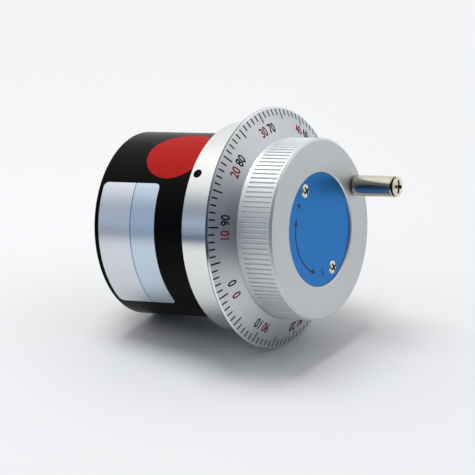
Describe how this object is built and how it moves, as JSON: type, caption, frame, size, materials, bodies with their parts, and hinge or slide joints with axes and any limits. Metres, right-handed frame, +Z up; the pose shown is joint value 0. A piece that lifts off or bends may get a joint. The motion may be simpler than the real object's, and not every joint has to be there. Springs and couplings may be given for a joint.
{
  "type": "pulse generator handwheel",
  "caption": "Panel-mounted handwheel with a graduated dial, a fluted knob, a revolving handle and a round can that holds a stepped magnetic detent and an optical encoder.",
  "frame": {"origin": "centre of the flange ring's rear face, which lies on the panel", "axes": "spin axis along Y with the operator at -Y, +Z up, +X to the operator's right"},
  "size_m": [0.08, 0.0934, 0.08],
  "materials": {
    "ring_aluminium": "fine turned satin",
    "dial_aluminium": "matt satin, anodised",
    "knob_aluminium": "satin, fine turned",
    "black_can": "semi-gloss black",
    "nickel": "polished nickel",
    "blue_plate": "satin blue",
    "plain_steel": "zinc plated",
    "pillar_brass": "bright",
    "green_plastic": "moulded",
    "board_green": "solder mask",
    "black_plastic": "moulded",
    "magnet_grey": "sintered, coated",
    "soft_iron": "ground",
    "label_foil": "satin foil",
    "sticker_paper": "coated paper",
    "scale_ink": "printed ink"
  },
  "bodies": {
    "root": {"flange_ring": "ring_aluminium", "housing_can": "black_can", "can_grub_screws": "plain_steel", "rear_cover": "black_can", "cover_screws": "plain_steel", "terminal_strip": "green_plastic", "terminal_screws": "plain_steel", "strip_screws": "plain_steel", "terminal_pins": "pillar_brass", "bearing_outer_rings": "plain_steel", "bearing_balls": "plain_steel", "bearing_circlip": "plain_steel", "front_pillars": "pillar_brass", "middle_pillars": "pillar_brass", "rear_pillars": "pillar_brass", "magnet_ring": "soft_iron", "detent_magnets": "magnet_grey", "detent_poles": "soft_iron", "circuit_board": "board_green", "light_barrier": "black_plastic", "board_parts": "black_plastic"},
    "wheel": {"shaft": "plain_steel", "bearing_inner_rings": "plain_steel", "bearing_spacer": "plain_steel", "scale_dial": "dial_aluminium", "knob": "knob_aluminium", "knob_screws": "plain_steel", "hub_washer": "plain_steel", "hub_screw": "plain_steel", "front_plate": "blue_plate", "plate_screws": "nickel", "handle_pin": "nickel", "detent_rotor": "soft_iron", "rotor_set_screw": "plain_steel", "code_disc_hub": "pillar_brass", "code_disc": "plain_steel"},
    "handle": {"handle_sleeve": "nickel"}
  },
  "joints": [
    {"name": "wheel_spin", "type": "hinge", "parent": "root", "child": "wheel", "pos_m": [0, 0, 0], "axis": [0, 1, 0], "continuous": true},
    {"name": "handle_spin", "type": "hinge", "parent": "wheel", "child": "handle", "pos_m": [0.0243, -0.0397, 0.00706], "axis": [0, 1, 0], "continuous": true}
  ]
}
